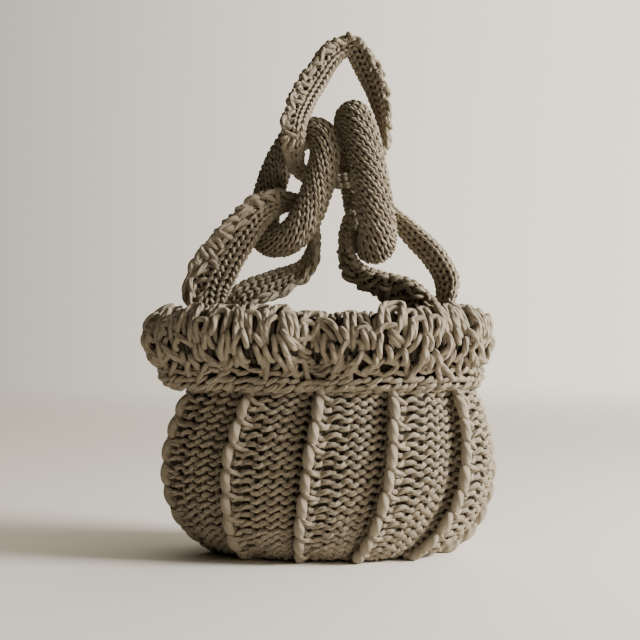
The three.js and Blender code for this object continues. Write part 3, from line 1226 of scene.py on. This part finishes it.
@dataclass
class Link:
    """A knitted link of the strap: courses round its section, all along a closed ring."""

    node: str
    wales: int
    row: float
    yarn: float
    loop: Loop
    twist: int = 0  # wales by which the stitches wind round the link over its whole length
    tangles: tuple[Tangle, ...] = ()
    slot: str = "knit_strap"
    points: int = 10  # to a stitch
    uneven: Span = (0.2, 0.15)  # unevenness of the stitches along the link and outwards
    layer_rows: int = 120
    layer_columns: int = 24
    layer_sunk: float = 0.8
    samples: int = 1200
    probe: float = 1e-3  # share of the ring that gives the direction along it

    def __post_init__(self) -> None:
        """Measures the ring's middle line."""
        self.fine = np.arange(self.samples + 1) / self.samples
        self.reached = lengths_along(self.centre(self.fine % 1.0))
        self.length = float(self.reached[-1])

    def centre(self, lap: Array) -> Array:
        """Gives the middle line at a share of the ring's own parameter."""
        raise NotImplementedError

    def axes(self, lap: Array) -> tuple[Array, Array]:
        """Gives the directions across the link's face and out of it."""
        raise NotImplementedError

    def halves(self, lap: Array) -> tuple[Array, Array]:
        """Gives half the link's width and half its thickness."""
        raise NotImplementedError

    def tangent(self, lap: Array) -> Array:
        """Gives the direction along the ring."""
        return unit(self.centre((lap + self.probe) % 1.0) - self.centre((lap - self.probe) % 1.0))

    def lap(self, along: Array) -> Array:
        """Gives the ring's own parameter at a share of its length."""
        return np.interp((along % 1.0) * self.length, self.reached, self.fine) % 1.0

    def outline(self, lap: Array) -> Array:
        """Gives the length of the section's outline."""
        wide, thick = self.halves(lap)
        return 4 * (wide - thick) + TURN * thick

    def lay(self, along: Array, around: Array, depth: Array) -> tuple[Array, Array]:
        """Lays points on the link.

        Args:
            along: The share of the ring's length.
            around: The share of the section's outline, from the middle of its side edge over its face.
            depth: How far the points stand out from the outside face.

        Returns:
            The points and the outward directions there.
        """
        lap = self.lap(along)
        side, face = self.axes(lap)
        wide, thick = self.halves(lap)
        straight = wide - thick
        bend = math.pi * thick
        way = (around % 1.0) * self.outline(lap)
        front = np.clip(way - bend / 2, 0, 2 * straight)
        back = np.clip(way - 3 * bend / 2 - 2 * straight, 0, 2 * straight)
        angle = (way - front - back) / thick
        normal = side * np.cos(angle)[..., None] + face * np.sin(angle)[..., None]
        inner = self.centre(lap) + side * (straight - front + back)[..., None]
        return inner + normal * (thick + depth)[..., None], normal

    def add_courses(self, mesh: YarnMesh, seed: Random) -> None:
        """Knits the courses round the link's section.

        Args:
            mesh: The mesh that takes them.
            seed: The random numbers.
        """
        rows = round(self.length / self.row)
        phase = np.arange(self.wales * self.points) / self.points
        side, up, out = self.loop.weave(phase)
        row = np.arange(rows)[:, None]
        shift = up + wobble(seed, rows, self.wales, self.points, self.uneven[0])
        along = (row + shift / self.row) / rows
        around = (phase + side) / self.wales + self.twist * along / self.wales
        depth = out - (self.loop.depth + abs(self.loop.lean) + self.yarn)
        covers = [tangle.cover(along, around) for tangle in self.tangles]
        depth = depth - np.max([np.zeros(along.shape), *covers], axis=0)
        depth = depth + wobble(seed, rows, self.wales, self.points, self.uneven[1])
        path, over = self.lay(along, around, depth)
        mesh.add_tubes(path, over, self.yarn, closed=True)

    def add_under_layer(self, mesh: YarnMesh) -> None:
        """Adds the layer under the courses, in yarn painted darker as shade.

        Args:
            mesh: The mesh that takes it.
        """
        around = np.linspace(0, 1, self.layer_columns, endpoint=False)[None]
        along = np.linspace(0, 1, self.layer_rows, endpoint=False)[:, None]
        along, around = np.broadcast_arrays(along, around)
        depth = np.full(along.shape, -self.loop.depth - self.yarn - self.layer_sunk)
        mesh.add_sheet(self.lay(along, around, depth)[0], wrap_down=True, wrap_across=True)

    def add_tangle(self, mesh: YarnMesh, tangle: Tangle, seed: Random) -> None:
        """Lays the loose strands of one tangle.

        Args:
            mesh: The mesh that takes them.
            tangle: How they lie.
            seed: The random numbers.
        """
        count = tangle.count
        first, last = tangle.span
        low, high = tangle.band
        along = first + (last - first) * (np.arange(count) + seed.uniform(0, 1, count)) / count
        scatter = (np.arange(count) * tangle.step + seed.uniform(0, tangle.jitter, count)) % 1.0
        around = low + (high - low) * scatter
        half = seed.uniform(*tangle.half, count)
        slant = np.radians(seed.normal(*tangle.slant, count))
        share = np.linspace(-1, 1, tangle.points)[None]
        arch = np.cos(math.pi / 2 * share)
        bow = seed.normal(0, tangle.bow, (count, 1)) * arch
        place = along[:, None] + ((half * np.sin(slant))[:, None] * share + bow) / self.length
        turn = around[:, None] + (half * np.cos(slant) / self.outline(self.lap(along)))[:, None] * share
        sunk = seed.uniform(*tangle.sunk, (count, 1))
        depth = -tangle.yarn - sunk - tangle.end_dive * (1 - np.sqrt(arch))
        path, over = self.lay(place, turn, depth)
        fat = tangle.yarn * seed.normal(1.0, tangle.fatness, (count, 1))
        mesh.add_tubes(path, over, fat * round_ends(tangle.points, *tangle.ends)[None], Facets.LOOSE)

    def build(self, seed: Random) -> list[bpy.types.Object]:
        """Builds the link and its loose strands.

        Args:
            seed: The random numbers.

        Returns:
            The new piece, in a list.
        """
        # the layer under the courses takes the yarn painted darkest as shade
        mesh = YarnMesh(self.node + "_knit", LINK_PAINTED_SHADE)
        self.add_courses(mesh, seed)
        self.add_under_layer(mesh)
        for tangle in self.tangles:
            self.add_tangle(mesh, tangle, seed)
        return [mesh.build(self.node, self.slot)]


@dataclass
class StripLink(Link):
    """A flat knitted strip sewn into a ring, with loose strands along its edges."""

    # x, y, z of the middle line, width, thickness, and turn of the face from the front in degrees.
    stations: Table = ()

    def __post_init__(self) -> None:
        """Takes up the stations and measures the ring."""
        self.knots = np.array(self.stations)
        super().__post_init__()

    def station(self, lap: Array, column: int) -> Array:
        """Gives one of the stations' sizes between two stations."""
        values = self.knots[:, column]
        return np.interp(lap * len(values), np.arange(len(values) + 1), np.append(values, values[0]))

    def centre(self, lap: Array) -> Array:
        """Gives the middle line: a closed centripetal Catmull-Rom curve through the stations.

        Args:
            lap: The share of the ring's own parameter.

        Returns:
            The points.
        """
        count = len(self.knots)
        at = np.floor(lap * count).astype(int) % count
        t = (lap * count - np.floor(lap * count))[..., None]
        p0, p1, p2, p3 = (self.knots[(at + k) % count, :3] for k in (-1, 0, 1, 2))
        legs = (p1 - p0, p2 - p1, p3 - p2)
        d0, d1, d2 = (np.linalg.norm(leg, axis=-1, keepdims=True) ** 0.5 for leg in legs)
        start = ((p1 - p0) / d0 - (p2 - p0) / (d0 + d1) + (p2 - p1) / d1) * d1
        end = ((p2 - p1) / d1 - (p3 - p1) / (d1 + d2) + (p3 - p2) / d2) * d1
        return p1 + t * (start + t * (3 * (p2 - p1) - 2 * start - end + t * (2 * (p1 - p2) + start + end)))

    def axes(self, lap: Array) -> tuple[Array, Array]:
        """Gives the strip's directions, turned as the stations say.

        Args:
            lap: The share of the ring's own parameter.

        Returns:
            The directions across the strip's face and out of it.
        """
        tangent = self.tangent(lap)
        side = unit(np.cross(tangent, np.array([0.0, -1.0, 0.0])))
        face = np.cross(side, tangent)
        turn = np.radians(self.station(lap, 5))[..., None]
        return side * np.cos(turn) - face * np.sin(turn), face * np.cos(turn) + side * np.sin(turn)

    def halves(self, lap: Array) -> tuple[Array, Array]:
        """Gives half the strip's width and half its thickness."""
        return self.station(lap, 3) / 2, self.station(lap, 4) / 2


@dataclass
class TubeLink(Link):
    """A fat knitted tube sewn into a long ring, one arm in front and one behind."""

    low: Point = (0.0, 0.0, 0.0)
    high: Point = (0.0, 0.0, 1.0)
    front: Point = (0.0, -1.0, 0.0)
    radii: Span = (1.0, 1.0)
    fullness: float = 0.8  # 1 is an elliptical ring, lower has straighter arms

    def centre(self, lap: Array) -> Array:
        """Gives the middle line, from the high end round by the front.

        Args:
            lap: The share of the ring's own parameter.

        Returns:
            The points.
        """
        low, high, front = (np.array(v) for v in (self.low, self.high, self.front))
        swings = (np.cos(TURN * lap), np.sin(TURN * lap))
        up, out = (np.sign(swing) * np.abs(swing) ** self.fullness for swing in swings)
        return (low + high) / 2 + up[..., None] * (high - low) / 2 + out[..., None] * front

    def axes(self, lap: Array) -> tuple[Array, Array]:
        """Gives the tube's directions.

        Args:
            lap: The share of the ring's own parameter.

        Returns:
            The directions out of the ring and square to it.
        """
        normal = unit(np.cross(np.subtract(self.high, self.low), self.front))
        outward = unit(np.cross(self.tangent(lap), normal))
        return outward, np.broadcast_to(normal, outward.shape)

    def halves(self, lap: Array) -> tuple[Array, Array]:
        """Gives the tube's radius, as half its width and half its thickness."""
        radius = self.radii[0] + (self.radii[1] - self.radii[0]) * (1 + np.cos(TURN * lap)) / 2
        return radius, radius


STOCKINETTE = Loop(Face.KNIT, swing=0.24, reach=3.5, depth=1.3)
TWISTED = Loop(Face.KNIT, swing=0.2, reach=3.0, depth=1.35, lean=-0.25)

LINKS = (
    StripLink(
        node="left_base_loop",
        wales=9,
        row=5.6,
        yarn=1.7,
        loop=STOCKINETTE,
        tangles=(
            Tangle((-0.05, 0.36), (0.27, 0.58), 70),
            Tangle((0.52, 0.92), (0.36, 0.6), 24, slant=(80.0, 15.0)),
        ),
        stations=(
            (-93.5, 2, 194, 37, 9, 0),
            (-86.5, 2, 213, 38, 9, 0),
            (-70, 1, 237, 32, 9, 0),
            (-48, 4.5, 260, 25, 9, 0),
            (-26, 20, 263, 15, 9, 15),
            (-12, 22, 243, 14, 8, 80),
            (-19, 15, 215, 20, 9, 45),
            (-41, 8, 202, 25, 9, 25),
            (-65, 4, 192, 25, 9, 25),
            (-87.5, 4, 170, 13, 9, 20),
        ),
    ),
    TubeLink(
        node="left_tube_link",
        wales=11,
        row=5.0,
        yarn=1.3,
        loop=TWISTED,
        twist=17,
        low=(-40, 12, 234),
        high=(-16, 28, 319),
        front=(19, -18, 0),
        radii=(13.5, 12.5),
    ),
    StripLink(
        node="top_link",
        wales=7,
        row=5.4,
        yarn=1.65,
        loop=STOCKINETTE,
        tangles=(
            Tangle((-0.04, 0.4), (-0.14, 0.24), 84, half=(4.0, 7.0), yarn=1.85),
            Tangle((0.62, 0.97), (-0.12, 0.1), 34, half=(3.5, 6.0), slant=(50.0, 30.0), yarn=1.8),
        ),
        stations=(
            (16, 41, 390, 19, 9, -15),
            (3, 40, 384, 20, 9, -10),
            (-13, 33, 360, 23, 9, 0),
            (-23, 19, 339, 23, 9, 0),
            (-28, 4.5, 319, 21, 9, 0),
            (-28, 10, 303, 19, 9, 0),
            (-25, 20, 290, 14, 9, 0),
            (-10, 29, 283, 13, 9, 0),
            (6, 26, 281, 13, 9, 5),
            (24, 24, 286, 13, 9, 0),
            (36.5, 26, 303, 14, 9, -30),
            (42, 29, 325, 17, 10, -60),
            (38.5, 33, 346, 22, 10, -50),
            (29.5, 38, 370, 23, 10, -35),
        ),
    ),
    TubeLink(
        node="right_tube_link",
        wales=12,
        row=5.0,
        yarn=1.3,
        loop=TWISTED,
        twist=24,
        low=(34, 13, 231),
        high=(17, 30, 331),
        front=(4, -24.5, 0),
        radii=(15.4, 13.8),
    ),
    StripLink(
        node="right_base_loop",
        wales=6,
        row=5.4,
        yarn=1.65,
        loop=STOCKINETTE,
        tangles=(Tangle((0.55, 0.93), (0.02, 0.46), 46, half=(4.0, 7.0), slant=(60.0, 35.0), yarn=1.85),),
        stations=(
            (86, 6, 184, 16, 10, -40),
            (88, 6, 203, 22, 11, -35),
            (79, 8, 221, 22, 11, -35),
            (65, 11, 236, 20, 10, -30),
            (51, 15, 250, 16, 9, -15),
            (36, 18, 260, 14, 9, 0),
            (19, 17, 255, 14, 9, 25),
            (11.5, 14, 235, 17, 9, 60),
            (17, 11, 212, 22, 9, 45),
            (37, 8, 201, 24, 9, 30),
            (58, 3, 194, 26, 9, 25),
            (72, -2, 184, 20, 9, 15),
            (87.5, 2, 170, 12, 8, -20),
        ),
    ),
)


@dataclass(frozen=True)
class FloorFinish:
    """Matt paint: pale and even, without gloss, and passing into the sky far off."""

    name: str = "pale_matt_floor"
    colour: str = "#eae4d8"
    roughness: float = 0.9
    ior: float = 1.45
    fade: Span = (0.35, 2.4)  # distances over which the floor passes into the sky

    def material(self) -> bpy.types.Material:
        """Makes the floor's material.

        Returns:
            The new material.
        """
        made = bpy.data.materials.new(self.name)
        tree = empty_tree(made)
        place = add_node(tree, "ShaderNodeTexCoord")
        away = add_node(tree, "ShaderNodeVectorMath", {0: (place, "Object")}, operation="LENGTH")
        near, far = self.fade
        fade = add_node(
            tree,
            "ShaderNodeMapRange",
            {"Value": (away, "Value"), "From Min": near, "From Max": far},
            interpolation_type="SMOOTHSTEP",
        )
        matt = add_node(
            tree,
            "ShaderNodeBsdfPrincipled",
            {"Base Color": linear(self.colour), "Roughness": self.roughness, "IOR": self.ior},
        )
        clear = add_node(tree, "ShaderNodeBsdfTransparent")
        shader = add_node(
            tree, "ShaderNodeMixShader", {0: (fade, "Result"), 1: (matt, "BSDF"), 2: (clear, "BSDF")}
        )
        add_node(tree, "ShaderNodeOutputMaterial", {"Surface": (shader, "Shader")})
        return made


@dataclass
class Studio:
    """A pale floor, soft light from the right, and the camera."""

    camera_at: Point = (-0.008, -0.85, 0.174)
    lens: float = 63.75
    sensor: float = 36.0
    floor_size: float = 6.0
    floor_finish: FloorFinish = FloorFinish()
    sky_colour: str = "#f1e8d6"
    sky_towards: Point = (0.9, 0.35, 0.0)  # where the sky is brightest
    sky_edge: Span = (-0.1, 0.7)  # how far towards there it starts to brighten, and is brightest
    sky_range: Span = (0.0, 2.3)  # its strength from the dimmest side to the brightest
    sky_seen: float = 0.62  # the least strength of the backdrop to the eye
    key_at: Point = (1.42, -0.3, 0.75)
    key_aim: Point = (0.0, 0.0, 0.15)
    key_size: float = 0.5
    key_power: float = 60.0

    def add_camera(self) -> None:
        """Puts the camera level before the bag's front."""
        data = bpy.data.cameras.new("camera")
        data.lens = self.lens
        data.sensor_width = self.sensor
        camera = add_object("camera", data)
        camera.location = self.camera_at
        camera.rotation_euler = (math.pi / 2, 0.0, 0.0)
        bpy.context.scene.camera = camera

    def add_floor(self) -> None:
        """Lays the floor under the bag."""
        mesh = bpy.data.meshes.new("floor")
        half = self.floor_size / 2
        corners = [(-half, -half, 0.0), (half, -half, 0.0), (half, half, 0.0), (-half, half, 0.0)]
        mesh.from_pydata(corners, [], [(0, 1, 2, 3)])
        mesh.materials.append(self.floor_finish.material())
        add_object("floor", mesh)

    def add_sky(self) -> None:
        """Lights the bag from a pale sky, brightest on one side and never dark to the eye."""
        world = bpy.data.worlds.new("pale_sky")
        tree = empty_tree(world)
        place = add_node(tree, "ShaderNodeTexCoord")
        facing = add_node(
            tree,
            "ShaderNodeVectorMath",
            {0: (place, "Generated"), 1: self.sky_towards},
            operation="DOT_PRODUCT",
        )
        dim, bright = self.sky_range
        start, full = self.sky_edge
        path = add_node(tree, "ShaderNodeLightPath")
        least = add_node(
            tree,
            "ShaderNodeMapRange",
            {"Value": (path, "Is Camera Ray"), "To Min": dim, "To Max": self.sky_seen},
        )
        strength = add_node(
            tree,
            "ShaderNodeMapRange",
            {
                "Value": (facing, "Value"),
                "From Min": start,
                "From Max": full,
                "To Min": (least, "Result"),
                "To Max": bright,
            },
            interpolation_type="SMOOTHSTEP",
        )
        sky = add_node(
            tree,
            "ShaderNodeBackground",
            {"Color": linear(self.sky_colour), "Strength": (strength, "Result")},
        )
        add_node(tree, "ShaderNodeOutputWorld", {"Surface": (sky, "Background")})
        bpy.context.scene.world = world

    def add_key(self) -> None:
        """Lights the bag from a round soft lamp to the right of the camera."""
        data = bpy.data.lights.new("soft_lamp", "AREA")
        data.shape = "DISK"
        data.size = self.key_size
        data.energy = self.key_power
        lamp = add_object("soft_lamp", data)
        lamp.location = self.key_at
        aim = Vector(self.key_aim) - lamp.location
        lamp.rotation_euler = aim.to_track_quat("-Z", "Y").to_euler()


def main() -> None:
    """Builds the scene piece by piece."""
    logging.basicConfig(level=logging.INFO, format="%(message)s")
    studio = Studio()
    studio.add_camera()
    studio.add_floor()
    studio.add_sky()
    studio.add_key()
    seed = np.random.default_rng(SEED)
    for assembly in (Pouch(), Collar(), *LINKS):
        for piece in assembly.build(seed):
            log.info("%s stands for %s", piece.name, assembly.node)


if __name__ == "__main__":
    main()
